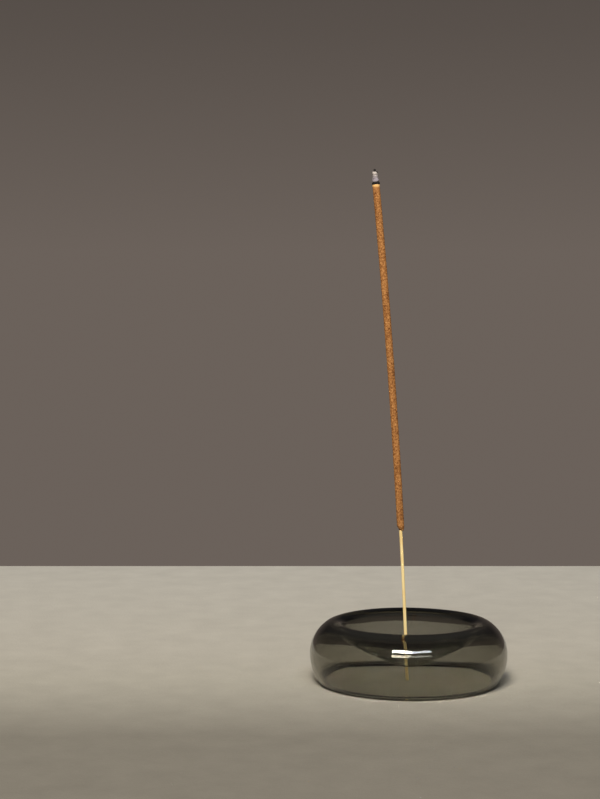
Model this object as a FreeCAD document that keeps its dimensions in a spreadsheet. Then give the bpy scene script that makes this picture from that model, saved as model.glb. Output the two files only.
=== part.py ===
import FreeCAD, Part
import math
import os
from itertools import pairwise

import Sketcher

# A blown smoked-glass incense burner and the one incense stick that leans in it.
#
# The vessel is one blown skin of glass, open underneath. It stands on the rim of its wall. The wall
# bulges out, rolls over a rounded crest and runs back down as a shallow funnel with a small hole
# at the bottom. The stick stands on the table through that hole. The glass is thickest in the crest,
# where it gathered and the chamber's ceiling has a rounding of its own, and thinnest in the funnel.
#
# Frame: +Z up, origin on the resting plane at the vessel's axis. The stick leans towards -X.
# All sizes are millimetres or degrees.

DIMENSIONS = (
    # vessel, outside
    ("outer_radius", 43.1, "radius of the wall where it is widest"),
    ("equator_height", 12.4, "height of the widest place"),
    ("vessel_height", 26.5, "height of the crest"),
    ("crest_radius", 32.2, "radius of the ring that the crest makes"),
    ("foot_radius", 38.0, "outer radius of the flat ring that the rim stands on"),
    ("rest_width", 0.7, "width of that flat ring"),
    ("heel_rounding", 2.4, "rounding from the rim into the wall"),
    ("shoulder_rounding", 7.5, "rounding from the wall up to the crest"),
    ("wall", 1.8, "thickness of the glass, the funnel apart"),
    # vessel, chamber under the crest
    ("ceiling_height", 24.0, "height of the chamber's highest ring"),
    ("ceiling_radius", 31.5, "radius of the chamber's highest ring"),
    ("ceiling_shoulder", 4.5, "rounding from the chamber's wall up to that ring"),
    ("ceiling_crest", 3.2, "rounding from that ring down along the funnel's underside"),
    # vessel, funnel
    ("funnel_wall", 1.2, "thickness of the funnel's glass, drawn thinner as it was sunk in"),
    ("crest_rounding", 5.0, "rounding from the crest down into the funnel"),
    ("throat_rounding", 18.0, "hollow curve from the crest's inside to the cone"),
    ("cone_angle", 30.0, "slope of the funnel's cone"),
    ("funnel_height", 8.5, "height of the funnel's upper face at the hole"),
    ("funnel_rounding", 8.5, "hollow curve from the cone to the hole's round lip"),
    ("hole_radius", 1.75, "hole that the stick goes through"),
    # stick
    ("stick_offset", 0.45, "how far the stick's foot stands off the axis"),
    ("stick_lean", 2.2, "lean of the stick at its foot"),
    ("bend_radius", 3870.0, "radius of the stick's slight bow"),
    ("foot_gap", 0.05, "room between the stick's foot and the resting plane"),
    ("core_radius", 0.675, "bamboo core"),
    ("coating_radius", 1.56, "outside of the incense coating"),
    ("char_radius", 1.66, "outside of the charred ring, swollen by the heat"),
    ("ash_radius", 1.3, "outside of the standing ash"),
    ("burnt_radius", 0.5, "burnt core, shrunk by the fire"),
    ("bare_length", 66.2, "bare bamboo below the coating"),
    ("coating_length", 150.0, "coating that hasn't burnt"),
    ("char_length", 0.8, "charred ring"),
    ("ash_length", 4.6, "ash that still stands"),
    ("tip_length", 1.2, "burnt core that sticks out of the ash"),
)

SHEET = "Dimensions"
FULL_TURN = 360.0
HINGE_LINE = 5.0  # length of the sketched line that a stick piece is turned about

# How a sketch's constraints name the points of its elements, its origin and its axes.
START, END, CENTRE = 1, 2, 3
ORIGIN = (-1, 1)
HORIZONTAL_AXIS = -1


def make_sheet(document):
    """The driving dimensions, one row each: name, value and what it is."""
    sheet = document.addObject("Spreadsheet::Sheet", SHEET)
    for row, (name, value, meaning) in enumerate(DIMENSIONS, start=1):
        sheet.set(f"A{row}", name)
        sheet.set(f"B{row}", str(value))
        sheet.set(f"C{row}", meaning)
        sheet.setAlias(f"B{row}", name)
    document.recompute()
    return sheet


def cell(name):
    """A dimension's name as expressions write it."""
    return f"{SHEET}.{name}"


def new_body(document, label):
    body = document.addObject("PartDesign::Body", label)
    body.Label = label
    return body


def origin_feature(body, role):
    for feature in body.Origin.OriginFeatures:
        if feature.Role == role:
            return feature
    raise ValueError(f"{body.Label} has no {role}")


def new_sketch(body, name, plane):
    sketch = body.newObject("Sketcher::SketchObject", name)
    sketch.AttachmentSupport = [(origin_feature(body, plane), "")]
    sketch.MapMode = "FlatFace"
    return sketch


def summed(*names):
    """The sum of some dimensions, as expressions write it."""
    return " + ".join(cell(name) for name in names)


class Rules:
    """A sketch's constraints, given to it together so that it is solved once, from the drawing."""

    def __init__(self, sketch):
        self.sketch = sketch
        self.constraints = []
        self.expressions = {}

    def hold(self, *constraint):
        self.constraints.append(Sketcher.Constraint(*constraint))

    def size(self, name, expression, *constraint):
        """A dimension, tied to the sheet by an expression."""
        self.expressions[len(self.constraints)] = (name, expression)
        self.hold(*constraint)

    def settle(self):
        self.sketch.addConstraint(self.constraints)
        for index, (name, expression) in self.expressions.items():
            self.sketch.renameConstraint(index, name)
            self.sketch.setExpression(f"Constraints.{name}", expression)


# --- glass vessel ---------------------------------------------------------------------------------


def vessel_section(body, sheet):
    """The glass itself, cut through on one side of the axis, as one closed outline.

    Sketch x is the radius and sketch y the height. The outside face runs from the rim's flat
    ring, out over the bulge and the crest, and down the funnel to the hole. The chamber's face
    follows it further in, under the crest with roundings of its own.
    The rounded rim and the hole's rounded lip join the two. Each element is drawn near its
    place, and the constraints bring it to size.
    """
    sketch = new_sketch(body, "vessel_section", "XZ_Plane")
    foot = sheet.foot_radius
    rest = foot - sheet.rest_width
    equator = sheet.equator_height
    funnel = sheet.funnel_height
    wall = sheet.wall
    half_wall = wall / 2
    funnel_wall = sheet.funnel_wall
    half_funnel_wall = funnel_wall / 2
    lip = sheet.hole_radius + half_funnel_wall

    def line(start, end):
        segment = Part.LineSegment(FreeCAD.Vector(*start), FreeCAD.Vector(*end))
        return sketch.addGeometry(segment, False), START, END

    def arc(centre, radius, first, last, ends=(START, END)):
        """An arc, and the ends by which the outline comes on to it and leaves it."""
        circle = Part.Circle(FreeCAD.Vector(*centre), FreeCAD.Vector(0, 0, 1), radius)
        drawn = Part.ArcOfCircle(circle, math.radians(first), math.radians(last))
        return sketch.addGeometry(drawn, False), *ends

    def hollow_arc(centre, radius, first, last):
        return arc(centre, radius, first, last, (END, START))

    def face(inset, funnel_inset, widest, top, ring, shoulder, rolled):
        """One face of the glass, drawn this far in from the outside in the wall and the funnel.

        It is told where it is widest and highest, and its two roundings there.
        """
        heel = sheet.heel_rounding
        throat = sheet.throat_rounding + funnel_inset
        bottom = sheet.funnel_rounding + funnel_inset
        return {
            "foot": line((rest, inset), (foot, inset)),
            "heel": arc((foot, heel), heel - inset, -90, -16),
            "lower_wall": arc((widest - 38, equator), 38, -16, 0),
            "upper_wall": arc((widest - 14, equator), 14, 0, 55),
            "shoulder": arc((ring, top - shoulder), shoulder, 55, 90),
            "crest": arc((ring, top - rolled), rolled, 90, 145),
            "throat": hollow_arc((ring - 19, top + 8), throat, -60, -35),
            "cone": line((ring - 10, top - 8), (lip + 5, funnel + 2 - funnel_inset)),
            "bottom": hollow_arc((lip, funnel + sheet.funnel_rounding), bottom, -90, -60),
        }

    outside = face(0, 0, sheet.outer_radius, sheet.vessel_height, sheet.crest_radius,
                   sheet.shoulder_rounding, sheet.crest_rounding)
    chamber = face(wall, funnel_wall, sheet.outer_radius - wall, sheet.ceiling_height,
                   sheet.ceiling_radius, sheet.ceiling_shoulder, sheet.ceiling_crest)
    hole, _, _ = arc((lip, funnel - half_funnel_wall), half_funnel_wall, 90, 270)
    rim, _, _ = arc((rest, half_wall), half_wall, 90, 270)
    rules = Rules(sketch)

    # Every stretch runs on smoothly from the one before it, and into the rim and the hole's lip.
    for stretches in (outside, chamber):
        for (element, _, leaves), (following, enters, _) in pairwise(stretches.values()):
            rules.hold("Tangent", element, leaves, following, enters)
    rules.hold("Tangent", outside["bottom"][0], START, hole, START)
    rules.hold("Tangent", chamber["bottom"][0], START, hole, END)
    rules.hold("Tangent", chamber["foot"][0], START, rim, START)
    rules.hold("Tangent", outside["foot"][0], START, rim, END)

    # Wall and funnel are each evenly thick: there both faces' arcs share their centres.
    for name in ("heel", "lower_wall", "bottom"):
        rules.hold("Coincident", outside[name][0], CENTRE, chamber[name][0], CENTRE)
    rules.hold("Parallel", outside["cone"][0], chamber["cone"][0])
    rules.hold("PointOnObject", outside["foot"][0], START, HORIZONTAL_AXIS)
    rules.hold("Horizontal", outside["foot"][0])
    rules.hold("Horizontal", chamber["foot"][0])

    def size(name, kind, *rest):
        """Ties one of the outline's sizes to the dimension of the same name."""
        rules.size(name, cell(name), kind, *rest, getattr(sheet, name))

    def highest_ring(stretches, height, ring, shoulder, crest):
        """Where a face is highest, level there, and how it is rounded on either side."""
        outer_side = stretches["shoulder"][0]
        size(shoulder, "Radius", outer_side)
        size(ring, "DistanceX", outer_side, END)
        size(height, "DistanceY", outer_side, END)
        rules.size(f"level_{ring}", cell(ring), "DistanceX", outer_side, CENTRE,
                   getattr(sheet, ring))
        size(crest, "Radius", stretches["crest"][0])

    highest_ring(outside, "vessel_height", "crest_radius", "shoulder_rounding", "crest_rounding")
    highest_ring(chamber, "ceiling_height", "ceiling_radius", "ceiling_shoulder", "ceiling_crest")

    lower_wall = outside["lower_wall"][0]
    bottom = outside["bottom"][0]
    lip_rounding = f"{cell('funnel_wall')} / 2"
    lip_place = f"{cell('hole_radius')} + {lip_rounding}"
    under_throat = sheet.throat_rounding + funnel_wall
    slope = math.radians(sheet.cone_angle)
    size("foot_radius", "DistanceX", outside["foot"][0], END)
    rules.size("rest_width", f"{cell('foot_radius')} - {cell('rest_width')}", "DistanceX",
               outside["foot"][0], START, rest)
    size("wall", "DistanceY", outside["foot"][0], START, chamber["foot"][0], START)
    size("heel_rounding", "Radius", outside["heel"][0])
    size("outer_radius", "DistanceX", lower_wall, END)
    size("equator_height", "DistanceY", lower_wall, END)
    rules.size("level_bulge", cell("equator_height"), "DistanceY", lower_wall, CENTRE, equator)
    rules.size("level_chamber", cell("equator_height"), "DistanceY",
               chamber["lower_wall"][0], END, equator)
    size("throat_rounding", "Radius", outside["throat"][0])
    rules.size("under_throat", summed("throat_rounding", "funnel_wall"), "Radius",
               chamber["throat"][0], under_throat)
    rules.size("cone_angle", f"{cell('cone_angle')} * 1 deg", "Angle",
               HORIZONTAL_AXIS, START, outside["cone"][0], END, slope)
    size("funnel_rounding", "Radius", bottom)
    size("funnel_height", "DistanceY", bottom, START)
    rules.size("lip_place", lip_place, "DistanceX", bottom, START, lip)
    rules.size("level_lip", lip_place, "DistanceX", bottom, CENTRE, lip)
    rules.size("lip_rounding", lip_rounding, "Radius", hole, half_funnel_wall)
    rules.settle()
    return sketch


def make_vessel(document, sheet):
    """The section turned once about the vessel's axis."""
    body = new_body(document, "glass_vessel")
    section = vessel_section(body, sheet)
    blown = body.newObject("PartDesign::Revolution", "blown_glass")
    blown.Profile = section
    blown.ReferenceAxis = (section, ["V_Axis"])
    blown.Angle = FULL_TURN
    return body


# --- incense stick --------------------------------------------------------------------------------


def place_on_stick(body, start):
    """Ties the body's origin to the place that lies this far up the stick's bowed centre line.

    The bow is an arc in the XZ plane. It leaves the foot at stick_lean from the vertical and
    leans over more as it climbs, always towards -X.
    """
    lean = f"({cell('stick_lean')} + ({start}) / {cell('bend_radius')} * 180 / pi)"
    foot_lean = cell("stick_lean")
    radius = cell("bend_radius")
    # The tilted foot's lower edge is what stands on the table, a hair above it.
    foot_height = f"{cell('core_radius')} * sin({foot_lean}) + {cell('foot_gap')}"
    body.Placement = FreeCAD.Placement(
        FreeCAD.Vector(), FreeCAD.Rotation(FreeCAD.Vector(0, 1, 0), -1)
    )
    body.setExpression("Placement.Rotation.Angle", f"-{lean}")
    body.setExpression(
        "Placement.Base.x",
        f"-{cell('stick_offset')} + {radius} * (cos({lean}) - cos({foot_lean}))",
    )
    body.setExpression(
        "Placement.Base.z",
        f"{foot_height} + {radius} * (sin({lean}) - sin({foot_lean}))",
    )


def make_stick_piece(document, sheet, label, outer, inner, start, length):
    """A round rod, or a tube if it has an inner radius, that follows the stick's bow.

    outer, inner and length are names of dimensions; start and length may be sums of them. The
    cross-section is turned through a small angle about the distant middle of the bow.
    """
    body = new_body(document, label)
    section = new_sketch(body, f"{label}_section", "XY_Plane")
    rules = Rules(section)
    for name, dimension in (("outer", outer), ("inner", inner)):
        if dimension is None:
            continue
        radius = getattr(sheet, dimension)
        circle = section.addGeometry(
            Part.Circle(FreeCAD.Vector(), FreeCAD.Vector(0, 0, 1), radius), False
        )
        rules.hold("Coincident", circle, CENTRE, *ORIGIN)
        rules.size(name, cell(dimension), "Radius", circle, radius)

    # The line that the section turns about crosses the sketch's x axis at the bow's middle.
    far = -sheet.bend_radius
    hinge_line = section.addGeometry(
        Part.LineSegment(FreeCAD.Vector(far, HINGE_LINE, 0), FreeCAD.Vector(far, 0, 0)), True
    )
    rules.hold("Vertical", hinge_line)
    rules.hold("PointOnObject", hinge_line, END, HORIZONTAL_AXIS)
    rules.hold("DistanceY", hinge_line, START, HINGE_LINE)
    rules.size("bend", f"-{cell('bend_radius')}", "DistanceX", hinge_line, END, far)
    rules.settle()

    swept = body.newObject("PartDesign::Revolution", f"{label}_bow")
    swept.Profile = section
    swept.ReferenceAxis = (section, ["Axis0"])
    swept.setExpression("Angle", f"({length}) / {cell('bend_radius')} * 180 / pi * 1 deg")
    place_on_stick(body, start)
    return body


def make_stick(document, sheet):
    burning = summed("bare_length", "coating_length")
    above_char = summed("bare_length", "coating_length", "char_length")
    burnt_core = summed("char_length", "ash_length", "tip_length")
    pieces = (
        ("bamboo_core", "core_radius", None, "0", burning),
        ("incense_coating", "coating_radius", "core_radius", cell("bare_length"),
         cell("coating_length")),
        ("char_band", "char_radius", "burnt_radius", burning, cell("char_length")),
        ("ash_column", "ash_radius", "burnt_radius", above_char, cell("ash_length")),
        ("charred_core", "burnt_radius", None, burning, burnt_core),
    )
    return [make_stick_piece(document, sheet, *piece) for piece in pieces]


# --- document -------------------------------------------------------------------------------------


def check(document, bodies):
    """Nothing failed without saying so, every sketch is settled and every piece is one solid."""
    for item in document.Objects:
        if "Invalid" in item.State or "Error" in item.State:
            raise ValueError(f"{item.Label} failed: {item.State}")
        if item.isDerivedFrom("Sketcher::SketchObject") and not item.FullyConstrained:
            raise ValueError(f"{item.Label} isn't fully constrained")
    for body in bodies:
        shape = body.Shape
        if shape.isNull() or not shape.isValid() or len(shape.Solids) != 1:
            raise ValueError(f"{body.Label} isn't one valid solid")


def export(bodies):
    os.makedirs("parts", exist_ok=True)
    for body in bodies:
        body.Shape.exportStep(f"parts/{body.Label}.step")
        box = body.Shape.BoundBox
        print(f"{body.Label}: {body.Shape.Volume:.1f} mm3,"
              f" X {box.XMin:.2f} to {box.XMax:.2f}, Z {box.ZMin:.2f} to {box.ZMax:.2f}")


def main():
    document = FreeCAD.newDocument("incense_burner")
    sheet = make_sheet(document)
    bodies = [make_vessel(document, sheet)] + make_stick(document, sheet)
    document.recompute()
    check(document, bodies)
    export(bodies)


main()
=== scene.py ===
import math

import bmesh
import bpy
from mathutils import Matrix, Vector, noise


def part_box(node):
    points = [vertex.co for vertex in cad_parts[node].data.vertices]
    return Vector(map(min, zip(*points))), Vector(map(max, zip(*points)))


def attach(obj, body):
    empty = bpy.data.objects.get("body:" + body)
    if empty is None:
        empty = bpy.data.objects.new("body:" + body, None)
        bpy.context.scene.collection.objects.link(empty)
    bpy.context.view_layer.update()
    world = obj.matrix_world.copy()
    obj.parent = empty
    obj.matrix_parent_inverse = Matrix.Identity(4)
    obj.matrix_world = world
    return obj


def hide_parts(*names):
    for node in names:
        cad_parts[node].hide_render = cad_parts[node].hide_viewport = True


# Looks of the incense burner: a smoked-glass vessel, open underneath, and the stick that leans in
# it. Everything is in the row's frame: metres, +Z up, the vessel's axis on Z, the table at z = 0.

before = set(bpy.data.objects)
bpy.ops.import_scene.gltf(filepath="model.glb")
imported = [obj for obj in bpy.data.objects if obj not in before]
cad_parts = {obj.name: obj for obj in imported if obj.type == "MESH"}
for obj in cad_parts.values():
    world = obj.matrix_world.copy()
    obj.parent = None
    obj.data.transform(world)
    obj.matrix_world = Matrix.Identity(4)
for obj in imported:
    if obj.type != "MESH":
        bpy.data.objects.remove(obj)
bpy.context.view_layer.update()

MM = 0.001
FULL_TURN = 2 * math.pi

# --- sizes ----------------------------------------------------------------------------------------

# The vessel's, the same as the CAD's. The ceiling is the top of the chamber, under the crest.
OUTER_RADIUS = 43.1 * MM
VESSEL_HEIGHT = 26.5 * MM
EQUATOR_HEIGHT = 12.4 * MM
CREST_RADIUS = 32.2 * MM
FOOT_RADIUS = 38.0 * MM
REST_WIDTH = 0.7 * MM
HEEL_ROUNDING = 2.4 * MM
SHOULDER_ROUNDING = 7.5 * MM
WALL = 1.8 * MM
FUNNEL_WALL = 1.2 * MM
CEILING_HEIGHT = 24.0 * MM
CEILING_RADIUS = 31.5 * MM
CEILING_SHOULDER = 4.5 * MM
CEILING_CREST = 3.2 * MM
CREST_ROUNDING = 5.0 * MM
THROAT_ROUNDING = 18.0 * MM
CONE_ANGLE = math.radians(30.0)
FUNNEL_HEIGHT = 8.5 * MM
FUNNEL_ROUNDING = 8.5 * MM
HOLE_RADIUS = 1.75 * MM

# The stick's, the same as the CAD's. Lengths are taken one after another from its foot.
STICK_OFFSET = 0.45 * MM
FOOT_LEAN = math.radians(2.2)
BEND_RADIUS = 3870.0 * MM
CORE_RADIUS = 0.675 * MM
FOOT_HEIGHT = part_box("bamboo_core")[0].z + CORE_RADIUS * math.sin(FOOT_LEAN)
COATING_RADIUS = 1.56 * MM
CHAR_RADIUS = 1.66 * MM
ASH_RADIUS = 1.3 * MM
BURNT_RADIUS = 0.5 * MM
BARE_LENGTH = 66.2 * MM
COATING_LENGTH = 150.0 * MM
CHAR_LENGTH = 0.8 * MM
ASH_LENGTH = 4.6 * MM
TIP_LENGTH = 1.2 * MM
BURNING = BARE_LENGTH + COATING_LENGTH
ASH_FOOT = BURNING + CHAR_LENGTH
ASH_TOP = ASH_FOOT + ASH_LENGTH

# Details of the burnt end, and the table.
TOASTED_LENGTH = 5.0 * MM
CRACK_SPACING = 1.35 * MM
SPLINTER_RADIUS = 0.6 * BURNT_RADIUS
SPLINTER_LENGTH = 1.7 * MM
SPLINTER_RISE = 0.35 * MM
SPLINTER_WAY = Vector((0.83, -0.25, -0.50))
TABLE_BEHIND = 0.32
TABLE_BEFORE = 1.5
TABLE_HALF_WIDTH = 1.5
TABLE_GAP = 0.2 * MM
# The shade painted into the table's colour is darkest from here towards the viewer.
SHADE_EDGE = -0.18


# --- turned skins ---------------------------------------------------------------------------------

# The functions that make a skin uneven reckon in millimetres and give metres at the end.


def upright(height):
    """The place on the vessel's axis at this height."""
    return Vector((0, 0, height)), Matrix.Identity(3)


def along_stick(height):
    """The place on the stick's bowed middle line, this far up from its foot."""
    lean = FOOT_LEAN + height / BEND_RADIUS
    x = -STICK_OFFSET + BEND_RADIUS * (math.cos(lean) - math.cos(FOOT_LEAN))
    z = FOOT_HEIGHT + BEND_RADIUS * (math.sin(lean) - math.sin(FOOT_LEAN))
    return Vector((x, 0, z)), Matrix.Rotation(-lean, 3, "Y")


def turn_skin(mesh, outline, place, uneven, sides, closed=False):
    """Adds a skin turned about a line. Its outline, (radius, height) pairs, runs from pole to pole
    or is closed.

    uneven(angle, radius, height) gives how far a point stands out and how far it is moved along.
    """
    rings = []
    for radius, height in outline:
        if radius == 0:
            middle, _ = place(height + uneven(0, 0, height)[1])
            rings.append([mesh.verts.new(middle)] * sides)
            continue
        ring = []
        for side in range(sides):
            angle = FULL_TURN * side / sides
            out, along = uneven(angle, radius, height)
            middle, turn = place(height + along)
            reach = radius + out
            flat = Vector((reach * math.cos(angle), reach * math.sin(angle), 0))
            ring.append(mesh.verts.new(middle + turn @ flat))
        rings.append(ring)
    following = rings[1:] + rings[:1] if closed else rings[1:]
    for low, high in zip(rings, following):
        for side in range(sides):
            after = (side + 1) % sides
            corners = [low[side], low[after], high[after], high[side]]
            mesh.faces.new(list(dict.fromkeys(corners)))


def turned(name, *skin):
    """A piece that is one turned skin; skin is all that turn_skin takes after its mesh."""
    mesh = bmesh.new()
    turn_skin(mesh, *skin)
    return add_mesh(name, mesh)


def add_mesh(name, mesh):
    """Puts the mesh into the scene as a smooth-shaded object."""
    bmesh.ops.recalc_face_normals(mesh, faces=mesh.faces)
    data = bpy.data.meshes.new(name)
    mesh.to_mesh(data)
    mesh.free()
    data.shade_smooth()
    thing = bpy.data.objects.new(name, data)
    bpy.context.scene.collection.objects.link(thing)
    return thing


def steps(first, last, step):
    """Evenly spread values from first to last, no further apart than step."""
    count = max(2, math.ceil(abs(last - first) / step))
    return [first + (last - first) * index / count for index in range(count + 1)]


def grain(angle, radius, height, size, seed):
    """Noise from -1 to 1 on a skin, in lumps of about this size; each seed gives another noise."""
    spot = Vector((radius * math.cos(angle), radius * math.sin(angle), height)) / size
    return noise.noise(spot + Vector((seed, 2.3 * seed, 0)))


def fade(value, low, high):
    """Rises smoothly from 0 at low to 1 at high."""
    share = min(1.0, max(0.0, (value - low) / (high - low)))
    return share * share * (3 - 2 * share)


# --- glass vessel ---------------------------------------------------------------------------------

FACE_STEP = 0.35 * MM
COARSEST_TURN = math.radians(15)
GLASS_SIDES = 192
QUARTER = math.pi / 2


def arc(centre, radius, first, last):
    """Points along an arc in the section, from one direction to another."""
    turn_step = min(FACE_STEP / radius, COARSEST_TURN)
    return [
        centre + radius * Vector((math.cos(angle), math.sin(angle)))
        for angle in steps(first, last, turn_step)
    ]


def direction(start, end):
    return math.atan2(end.y - start.y, end.x - start.x)


def bulge(out, along, rounding):
    """Radius of the wall's arc: upright at its end, and running on into a rounding.

    The rounding's centre lies this far in from that end, and this far along from it.
    """
    return (out**2 + along**2 - rounding**2) / (2 * (out - rounding))


def glass_face(inset, funnel_inset, widest, top, ring, shoulder, rolled):
    """One face of the glass, from the rim out over the crest and down the funnel to the hole."""
    heel = HEEL_ROUNDING - inset
    throat = THROAT_ROUNDING + funnel_inset
    bottom = FUNNEL_ROUNDING + funnel_inset

    heel_centre = Vector((FOOT_RADIUS, HEEL_ROUNDING))
    lower = bulge(widest - FOOT_RADIUS, EQUATOR_HEIGHT - HEEL_ROUNDING, heel)
    upper = bulge(widest - ring, top - shoulder - EQUATOR_HEIGHT, shoulder)
    lower_centre = Vector((widest - lower, EQUATOR_HEIGHT))
    upper_centre = Vector((widest - upper, EQUATOR_HEIGHT))
    shoulder_centre = Vector((ring, top - shoulder))
    crest_centre = Vector((ring, top - rolled))
    bottom_centre = Vector((HOLE_RADIUS + FUNNEL_WALL / 2, FUNNEL_HEIGHT + FUNNEL_ROUNDING))

    # The throat touches the cone's line and, from outside, the crest's rounding.
    up_cone = Vector((math.cos(CONE_ANGLE), math.sin(CONE_ANGLE)))
    off_cone = Vector((-up_cone.y, up_cone.x))
    cone_foot = bottom_centre - bottom * off_cone
    crest_height = (crest_centre - cone_foot).dot(off_cone)
    back = math.sqrt((throat + rolled) ** 2 - (throat - crest_height) ** 2)
    throat_centre = crest_centre + (throat - crest_height) * off_cone - back * up_cone
    cone_head = throat_centre - throat * off_cone

    heel_turn = direction(lower_centre, heel_centre)
    shoulder_turn = direction(upper_centre, shoulder_centre)
    throat_turn = direction(crest_centre, throat_centre)
    cone_turn = CONE_ANGLE - QUARTER
    cone = [
        cone_head.lerp(cone_foot, share)
        for share in steps(0, 1, FACE_STEP / (cone_head - cone_foot).length)
    ]
    stretches = (
        arc(heel_centre, heel, -QUARTER, heel_turn),
        arc(lower_centre, lower, heel_turn, 0),
        arc(upper_centre, upper, 0, shoulder_turn),
        arc(shoulder_centre, shoulder, shoulder_turn, QUARTER),
        arc(crest_centre, rolled, QUARTER, throat_turn),
        arc(throat_centre, throat, throat_turn - math.pi, cone_turn),
        cone,
        arc(bottom_centre, bottom, cone_turn, -QUARTER),
    )
    return [point for stretch in stretches for point in stretch[1:]]


def glass_outline():
    """The whole section of the glass: both faces, the hole's round lip and the rounded rim."""
    outside = glass_face(0, 0, OUTER_RADIUS, VESSEL_HEIGHT, CREST_RADIUS,
                         SHOULDER_ROUNDING, CREST_ROUNDING)
    chamber = glass_face(WALL, FUNNEL_WALL, OUTER_RADIUS - WALL, CEILING_HEIGHT,
                         CEILING_RADIUS, CEILING_SHOULDER, CEILING_CREST)
    lip_centre = Vector((HOLE_RADIUS + FUNNEL_WALL / 2, FUNNEL_HEIGHT - FUNNEL_WALL / 2))
    rim_centre = Vector((FOOT_RADIUS - REST_WIDTH, WALL / 2))
    lip = arc(lip_centre, FUNNEL_WALL / 2, QUARTER, 3 * QUARTER)
    rim = arc(rim_centre, WALL / 2, QUARTER, 3 * QUARTER)
    rest = Vector((FOOT_RADIUS, 0))
    return outside + lip[1:-1] + chamber[::-1] + rim + [rest]


def blown(angle, radius, height):
    """The small unevenness of blown glass: slow waves, none at the hole or where it stands."""
    off_hole = fade(radius, 6 * MM, 24 * MM)
    waves = 0.10 * grain(angle, radius, height, 21 * MM, 1)
    waves += 0.03 * grain(angle, radius, height, 6 * MM, 2)
    lift = 0.12 * grain(angle, radius, 0, 30 * MM, 3)
    return (
        waves * off_hole * fade(height, 0.5 * MM, 5 * MM) * MM,
        lift * off_hole * fade(height, 3 * MM, 20 * MM) * MM,
    )


def make_vessel():
    glass = turned("blown_glass", glass_outline(), upright, blown, GLASS_SIDES, True)
    glass.data.materials.append(smoked_glass())
    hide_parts("glass_vessel")
    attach(glass, "vessel")


# --- incense stick --------------------------------------------------------------------------------

CORE_SIDES = 40
SKIN_SIDES = 56
BURNT_SIDES = 28
SPLINTER_SIDES = 20


def put_on_stick(piece, material, node):
    """The piece moves with the stick and stands for one of its CAD nodes."""
    piece.data.materials.append(material)
    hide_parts(node)
    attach(piece, "stick")


def split_bamboo(angle, radius, height):
    """Three faint flats from the splitting, slow twists and fine fibres along the core."""
    twist = angle + 0.9 * grain(0, 0, height, 60 * MM, 11)
    flats = -0.045 * math.cos(3 * twist)
    slow = 0.03 * grain(angle, radius, height, 9 * MM, 12)
    spot = Vector((7 * math.cos(angle), 7 * math.sin(angle), height / (14 * MM)))
    fibres = 0.022 * noise.noise(spot)
    torn = 0.12 * grain(angle, radius, 0, 0.4 * MM, 13) * (1 - fade(height, 0, 0.6 * MM))
    return (flats + slow + fibres) * MM, torn * MM


def make_bamboo():
    """The core, from its cut foot to inside the charred end."""
    bevel = 0.12 * MM
    top = BURNING - bevel
    outline = [(0, 0), (CORE_RADIUS - bevel, 0)]
    outline += [(CORE_RADIUS, height) for height in steps(bevel, top, 0.6 * MM)]
    outline += [(CORE_RADIUS - bevel, BURNING), (0, BURNING)]
    core = turned("split_bamboo", outline, along_stick, split_bamboo, CORE_SIDES)
    put_on_stick(core, bamboo(), "bamboo_core")


def paste(angle, radius, height):
    """Pressed wood powder: grains, soft lumps and a ragged, slanting lower end."""
    above = height - BARE_LENGTH
    grains = 0.075 * grain(angle, radius, height, 0.34 * MM, 21)
    grains += 0.070 * grain(angle, radius, height, 0.8 * MM, 22)
    lumps = 0.035 * grain(angle, radius, height, 5 * MM, 23)
    calm = 1 - 0.55 * fade(height, BURNING - 4.0 * MM, BURNING - 2.0 * MM)
    thin = -0.35 * (1 - fade(above, 0, 1.6 * MM))
    slant = -0.6 * math.cos(angle) + 0.35 * grain(angle, radius, 0, 0.9 * MM, 24) + 0.45
    reach = fade(radius, 0.8 * MM, 1.3 * MM)
    return (
        ((grains + lumps) * calm + thin) * reach * MM,
        slant * reach * MM * (1 - fade(above, 0.3 * MM, 4 * MM)),
    )


def ring_outline(inner, outer, low, high, bevel, step):
    """A closed section of a tube round the core, its edges bevelled."""
    side = [(outer, height) for height in steps(low + bevel, high - bevel, step)]
    hidden = [(inner, height) for height in steps(high, low, 4 * step)]
    low_edge, high_edge = (outer - bevel, low), (outer - bevel, high)
    return [low_edge] + side + [high_edge] + hidden


def make_coating():
    outline = ring_outline(CORE_RADIUS - 0.1 * MM, COATING_RADIUS, BARE_LENGTH, BURNING,
                           bevel=0.2 * MM, step=0.2 * MM)
    coating = turned("incense_paste", outline, along_stick, paste, SKIN_SIDES, True)
    put_on_stick(coating, incense_paste(), "incense_coating")


def crusty(angle, radius, height):
    """Swollen, cracked crust."""
    lumps = 0.16 * grain(angle, radius, height, 0.45 * MM, 31)
    lumps += 0.10 * grain(angle, radius, height, 0.2 * MM, 32)
    wander = 0.16 * grain(angle, radius, 0, 0.7 * MM, 33)
    reach = fade(radius, 0.7 * MM, 1.3 * MM)
    return lumps * reach * MM, wander * reach * MM


def make_char():
    outline = ring_outline(BURNT_RADIUS, CHAR_RADIUS, BURNING - 0.15 * MM, ASH_FOOT,
                           bevel=0.14 * MM, step=0.08 * MM)
    ring = turned("charred_ring", outline, along_stick, crusty, SKIN_SIDES, True)
    put_on_stick(ring, char(), "char_band")


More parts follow.
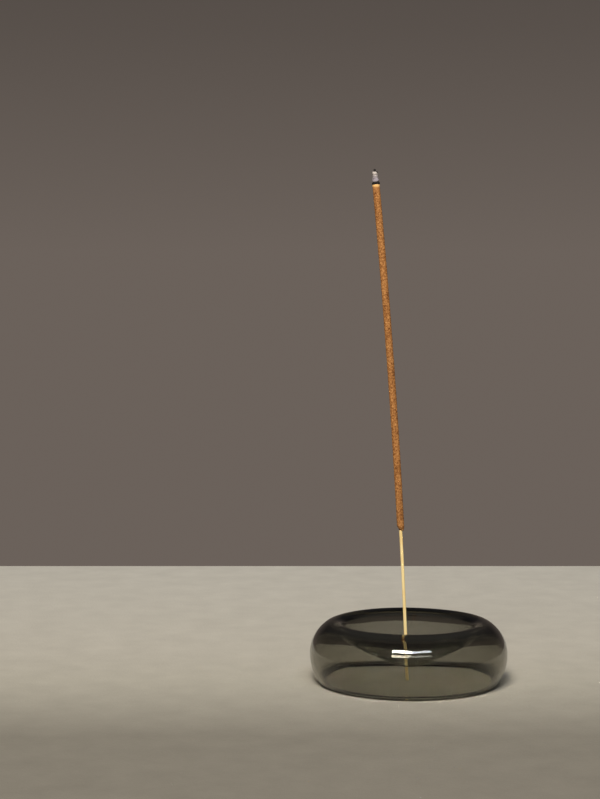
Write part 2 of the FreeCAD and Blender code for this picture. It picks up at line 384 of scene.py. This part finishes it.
def flaky(angle, radius, height):
    """Ash: wider and lumpy at its foot, cracked across, ragged and bitten off at the top."""
    up = (height - ASH_FOOT) / ASH_LENGTH
    reach = fade(radius, 0.5 * MM, 1.0 * MM)
    belly = 0.15 - 0.33 * fade(up, 0.05, 0.5)
    lumps = 0.14 * grain(angle, radius, height, 0.7 * MM, 41)
    lumps += 0.07 * grain(angle, radius, height, 0.25 * MM, 42)
    level = height + 0.35 * MM * grain(angle, radius, 0, 1.1 * MM, 43)
    crack = 0.10 * max(0.0, math.cos(FULL_TURN * level / CRACK_SPACING)) ** 6
    bite = 0.6 * grain(angle, radius, 0, 0.9 * MM, 44) - 0.15 - 0.2 * math.cos(angle)
    return (belly + lumps - crack) * reach * MM, bite * reach * MM * fade(up, 0.6, 1.0)


def make_ash():
    outline = ring_outline(BURNT_RADIUS, ASH_RADIUS, ASH_FOOT + 0.05 * MM, ASH_TOP,
                           bevel=0.3 * MM, step=0.09 * MM)
    column = turned("standing_ash", outline, along_stick, flaky, SKIN_SIDES, True)
    put_on_stick(column, ash(), "ash_column")


def shrivelled(angle, radius, height):
    """Burnt wood, drawn together into uneven lumps."""
    lumps = 0.12 * grain(angle, radius, height, 0.5 * MM, 51)
    lumps += 0.05 * grain(angle, radius, height, 0.2 * MM, 52)
    return lumps * MM, 0


def rod(radius, low, high, step):
    """A round rod's outline, its ends drawn in."""
    side = [(radius, height) for height in steps(low + step, high - 3 * step, step)]
    return [(0, low), (0.9 * radius, low)] + side + [(0.6 * radius, high - step), (0, high)]


def along_splinter(height):
    """The place along the splinter of burnt core that hangs over the ash's edge."""
    root, _ = along_stick(ASH_TOP + SPLINTER_RISE)
    turn = SPLINTER_WAY.to_track_quat("Z", "Y").to_matrix()
    return root + height * SPLINTER_WAY, turn


def make_burnt_core():
    """The burnt core up the ash's middle, split at its end into a stub and a splinter."""
    step = 0.12 * MM
    mesh = bmesh.new()
    core = rod(BURNT_RADIUS, BURNING, ASH_TOP + TIP_LENGTH, step)
    splinter = rod(SPLINTER_RADIUS, 0, SPLINTER_LENGTH, step)
    turn_skin(mesh, core, along_stick, shrivelled, BURNT_SIDES)
    turn_skin(mesh, splinter, along_splinter, shrivelled, SPLINTER_SIDES)
    put_on_stick(add_mesh("burnt_core", mesh), char(), "charred_core")


# --- materials ------------------------------------------------------------------------------------


def fill_ramp(ramp, stops):
    """Gives a colour ramp these (position, colour) stops."""
    elements = ramp.color_ramp.elements
    while len(elements) < len(stops):
        elements.new(1.0)
    for element, (position, colour) in zip(elements, stops):
        element.position = position
        element.color = (*colour, 1.0)


class Look:
    """A material's nodes, with short ways to add the usual ones."""

    def __init__(self, name):
        self.material = bpy.data.materials.new(name)
        self.material.use_nodes = True
        self.tree = self.material.node_tree
        self.shader = self.tree.nodes["Principled BSDF"]
        self.output = self.tree.nodes["Material Output"]
        self.places = self.tree.nodes.new("ShaderNodeTexCoord")

    def join(self, source, target):
        """Links an output to an input."""
        self.tree.links.new(source, target)

    def stretched(self, scale):
        """The object's own coordinates, in metres times this scale along each axis."""
        mapping = self.tree.nodes.new("ShaderNodeMapping")
        mapping.inputs["Scale"].default_value = scale
        self.join(self.places.outputs["Object"], mapping.inputs["Vector"])
        return mapping.outputs["Vector"]

    def noise(self, scale, detail=4.0, roughness=0.6):
        """Noise in lumps of 1 / scale metres; scale may differ along each axis."""
        texture = self.tree.nodes.new("ShaderNodeTexNoise")
        texture.inputs["Scale"].default_value = 1.0
        texture.inputs["Detail"].default_value = detail
        texture.inputs["Roughness"].default_value = roughness
        self.join(self.stretched(scale), texture.inputs["Vector"])
        return texture.outputs["Fac"]

    def along(self, axis):
        """The place along one of the row's axes, in metres."""
        split = self.tree.nodes.new("ShaderNodeSeparateXYZ")
        self.join(self.places.outputs["Object"], split.inputs["Vector"])
        return split.outputs[axis]

    def rescaled(self, value, low, high, to_low=0.0, to_high=1.0):
        """The value stretched from the range low to high to another, and held within it."""
        scaled = self.tree.nodes.new("ShaderNodeMapRange")
        scaled.inputs["From Min"].default_value = low
        scaled.inputs["From Max"].default_value = high
        scaled.inputs["To Min"].default_value = to_low
        scaled.inputs["To Max"].default_value = to_high
        self.join(value, scaled.inputs["Value"])
        return scaled.outputs["Result"]

    def coloured(self, value, stops):
        """A colour for each value, smoothly between (position, colour) stops."""
        ramp = self.tree.nodes.new("ShaderNodeValToRGB")
        fill_ramp(ramp, stops)
        self.join(value, ramp.inputs["Fac"])
        return ramp.outputs["Color"]

    def mixed(self, share, first, second, kind="MIX"):
        """Two colours mixed by a share from 0 to 1. With no share the second acts in full."""
        mix = self.tree.nodes.new("ShaderNodeMix")
        mix.data_type = "RGBA"
        mix.blend_type = kind
        if share is None:
            mix.inputs["Factor"].default_value = 1.0
        else:
            self.join(share, mix.inputs["Factor"])
        self.join(first, mix.inputs["A"])
        self.join(second, mix.inputs["B"])
        return mix.outputs["Result"]

    def finish(self, colour, rough_value, rough, bump_value, bump_depth):
        """Sets colour, roughness between two values, and bump of this depth in metres."""
        self.join(colour, self.shader.inputs["Base Color"])
        self.shader.inputs["Specular IOR Level"].default_value = 0.25
        self.join(self.rescaled(rough_value, 0.3, 0.7, *rough), self.shader.inputs["Roughness"])
        bump = self.tree.nodes.new("ShaderNodeBump")
        bump.inputs["Distance"].default_value = bump_depth
        self.join(bump_value, bump.inputs["Height"])
        self.join(bump.outputs["Normal"], self.shader.inputs["Normal"])
        return self.material


def smoked_glass():
    """Clear grey-brown glass: the tint is in its depth, so thick and edge-on glass is darker."""
    look = Look("smoked_glass")
    look.tree.nodes.remove(look.places)
    look.shader.inputs["Transmission Weight"].default_value = 1.0
    look.shader.inputs["Roughness"].default_value = 0.0
    look.shader.inputs["IOR"].default_value = 1.5
    tint = look.tree.nodes.new("ShaderNodeVolumeAbsorption")
    tint.inputs["Color"].default_value = (0.20, 0.17, 0.0, 1.0)
    tint.inputs["Density"].default_value = 290.0
    look.join(tint.outputs["Volume"], look.output.inputs["Volume"])
    return look.material


def bamboo():
    """Straw-yellow split bamboo with darker fibres along it."""
    look = Look("bamboo")
    fibres = look.noise((5200, 5200, 55), 5.0)
    patches = look.noise((90, 90, 60), 2.0)
    pale = look.coloured(fibres, ((0.30, (0.75, 0.45, 0.14)), (0.46, (1.0, 0.75, 0.32)),
                                  (0.70, (1.0, 0.88, 0.50))))
    dull = look.coloured(fibres, ((0.34, (0.60, 0.32, 0.09)), (0.62, (1.0, 0.68, 0.26))))
    share = look.rescaled(patches, 0.50, 0.72, 0.0, 0.7)
    return look.finish(look.mixed(share, pale, dull), fibres, (0.62, 0.42), fibres, 0.05 * MM)


def incense_paste():
    """Dry brown wood powder, paler and smoother just under the burning end."""
    look = Look("incense_paste")
    powder = look.noise((1250, 1250, 1250), 6.0, 0.85)
    specks = look.noise((9000, 9000, 9000), 2.0)
    patches = look.noise((420, 420, 160), 3.0)
    brown = look.coloured(powder, ((0.38, (0.11, 0.033, 0.007)), (0.49, (0.35, 0.138, 0.034)),
                                   (0.60, (0.58, 0.28, 0.090))))
    dark = look.coloured(powder, ((0.40, (0.08, 0.024, 0.006)), (0.58, (0.40, 0.160, 0.040))))
    coat = look.mixed(look.rescaled(patches, 0.48, 0.70, 0.0, 0.75), brown, dark)
    wood_flecks = look.coloured(specks, ((0.62, (0.0, 0.0, 0.0)), (0.70, (0.30, 0.18, 0.08))))
    coat = look.mixed(look.rescaled(specks, 0.60, 0.72), coat, wood_flecks, "ADD")
    # The last few millimetres of paste under the burning end are toasted.
    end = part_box("incense_coating")[1].z
    hot = look.rescaled(look.along("Z"), end - TOASTED_LENGTH, end)
    toasted = look.coloured(hot, ((0.0, (0.34, 0.14, 0.04)), (0.68, (0.42, 0.18, 0.055)),
                                  (0.84, (0.92, 0.54, 0.19)), (0.95, (0.90, 0.52, 0.19)),
                                  (1.0, (0.10, 0.05, 0.02))))
    coat = look.mixed(look.rescaled(hot, 0.15, 0.75), coat, toasted)
    return look.finish(coat, powder, (0.95, 0.75), powder, 0.10 * MM)


def char():
    """Black charred wood with a few grey flecks."""
    look = Look("char")
    crust = look.noise((2600, 2600, 2600), 5.0, 0.7)
    colour = look.coloured(crust, ((0.35, (0.006, 0.005, 0.005)), (0.62, (0.022, 0.018, 0.016)),
                                   (0.74, (0.14, 0.12, 0.11))))
    return look.finish(colour, crust, (0.95, 0.70), crust, 0.08 * MM)


def ash():
    """Pale lilac-grey ash, warmer and lighter towards the top, with darker cracks."""
    look = Look("ash")
    flakes = look.noise((1500, 1500, 2300), 6.0, 0.65)
    low, high = (corner.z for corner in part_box("ash_column"))
    up = look.rescaled(look.along("Z"), low, high)
    cool = look.coloured(flakes, ((0.30, (0.07, 0.055, 0.06)), (0.44, (0.25, 0.215, 0.235)),
                                  (0.66, (0.40, 0.36, 0.39))))
    warm = look.coloured(flakes, ((0.28, (0.10, 0.08, 0.07)), (0.44, (0.38, 0.33, 0.295)),
                                  (0.66, (0.58, 0.52, 0.46))))
    colour = look.mixed(look.rescaled(up, 0.35, 0.80), cool, warm)
    return look.finish(colour, flakes, (1.0, 0.85), flakes, 0.12 * MM)


def table_top():
    """The plain pale table, with shade painted into its colour: darker towards the viewer, as far
    as SHADE_EDGE, and lighter behind the burner.
    """
    look = Look("table_top")
    mottle = look.noise((60, 60, 60), 5.0)
    # Painted shade: the colour darkens towards the viewer and lightens behind the burner, in place
    # of light that falls off towards the front; the mottle over it is the table's own uneven tone.
    painted_light_and_shade = look.coloured(look.rescaled(look.along("Y"), SHADE_EDGE, TABLE_BEHIND),
                        ((0.0, (0.185, 0.168, 0.136)), (0.16, (0.205, 0.187, 0.151)),
                         (0.36, (0.42, 0.39, 0.32)), (0.50, (0.50, 0.465, 0.39)),
                         (1.0, (0.68, 0.645, 0.56))))
    shade = look.coloured(mottle, ((0.30, (0.90, 0.90, 0.90)), (0.70, (1.0, 1.0, 1.0))))
    colour = look.mixed(None, painted_light_and_shade, shade, "MULTIPLY")
    fine = look.noise((700, 700, 700), 4.0)
    return look.finish(colour, fine, (0.75, 0.60), fine, 0.2 * MM)


# --- table, light and camera ----------------------------------------------------------------------


def make_table():
    mesh = bmesh.new()
    corners = (
        (-TABLE_HALF_WIDTH, -TABLE_BEFORE),
        (TABLE_HALF_WIDTH, -TABLE_BEFORE),
        (TABLE_HALF_WIDTH, TABLE_BEHIND),
        (-TABLE_HALF_WIDTH, TABLE_BEHIND),
    )
    mesh.faces.new([mesh.verts.new((x, y, -TABLE_GAP)) for x, y in corners])
    table = add_mesh("table", mesh)
    table.data.materials.append(table_top())


def aim(thing, place, target):
    """Puts a lamp or camera at a place, looking at the target, into the scene."""
    thing.location = place
    thing.rotation_mode = "QUATERNION"
    thing.rotation_quaternion = (target - place).to_track_quat("-Z", "Y")
    bpy.context.scene.collection.objects.link(thing)


LIGHT_RISE = math.radians(53.0)


def make_light(name, side, distance, width, depth, power, colour):
    """A soft light aimed at the burner. Its side is in degrees from the viewer's direction."""
    lamp = bpy.data.lights.new(name, "AREA")
    lamp.shape = "RECTANGLE"
    lamp.size = width
    lamp.size_y = depth
    lamp.energy = power
    lamp.color = colour
    turn = math.radians(side)
    flat = math.cos(LIGHT_RISE)
    away = Vector((math.sin(turn) * flat, -math.cos(turn) * flat, math.sin(LIGHT_RISE)))
    aim(bpy.data.objects.new(name, lamp), distance * away, Vector())


def make_room():
    """The dim room round the table: warm grey low down, darker above, a pale ceiling."""
    world = bpy.data.worlds.new("room")
    world.use_nodes = True
    tree = world.node_tree
    places = tree.nodes.new("ShaderNodeTexCoord")
    split = tree.nodes.new("ShaderNodeSeparateXYZ")
    ramp = tree.nodes.new("ShaderNodeValToRGB")
    stops = (
        (0.0, (0.147, 0.121, 0.104)),
        (0.11, (0.098, 0.081, 0.070)),
        (0.30, (0.040, 0.036, 0.035)),
        (0.75, (0.085, 0.083, 0.084)),
    )
    fill_ramp(ramp, stops)
    tree.links.new(places.outputs["Generated"], split.inputs["Vector"])
    tree.links.new(split.outputs["Z"], ramp.inputs["Fac"])
    tree.links.new(ramp.outputs["Color"], tree.nodes["Background"].inputs["Color"])
    bpy.context.scene.world = world


CAMERA_PLACE = Vector((-0.04734, -0.86188, 0.18726))
CAMERA_PITCH = math.radians(4.25)
CAMERA_LENS = 90.1


def make_camera():
    """The camera stands in front of the burner, a little to its left, and looks slightly down."""
    camera = bpy.data.objects.new("camera", bpy.data.cameras.new("camera"))
    camera.data.sensor_width = 36.0
    camera.data.lens = CAMERA_LENS
    ahead = Vector((0, math.cos(CAMERA_PITCH), -math.sin(CAMERA_PITCH)))
    aim(camera, CAMERA_PLACE, CAMERA_PLACE + ahead)
    bpy.context.scene.camera = camera


def set_render():
    """Plain colours, enough bounces to pass several walls of glass, and little of it cut."""
    scene = bpy.context.scene
    scene.view_settings.view_transform = "Standard"
    scene.cycles.max_bounces = 24
    scene.cycles.transmission_bounces = 24
    scene.cycles.transparent_max_bounces = 16
    scene.cycles.blur_glossy = 0.0
    scene.cycles.sample_clamp_indirect = 30.0


make_vessel()
make_bamboo()
make_coating()
make_char()
make_ash()
make_burnt_core()
make_table()
make_light("window_left", side=-14, distance=1.3, width=0.42, depth=0.22,
           power=18.0, colour=(1.0, 0.95, 0.88))
make_light("window_right", side=16, distance=1.6, width=0.60, depth=0.17,
           power=6.5, colour=(0.86, 0.91, 1.0))
make_room()
make_camera()
set_render()
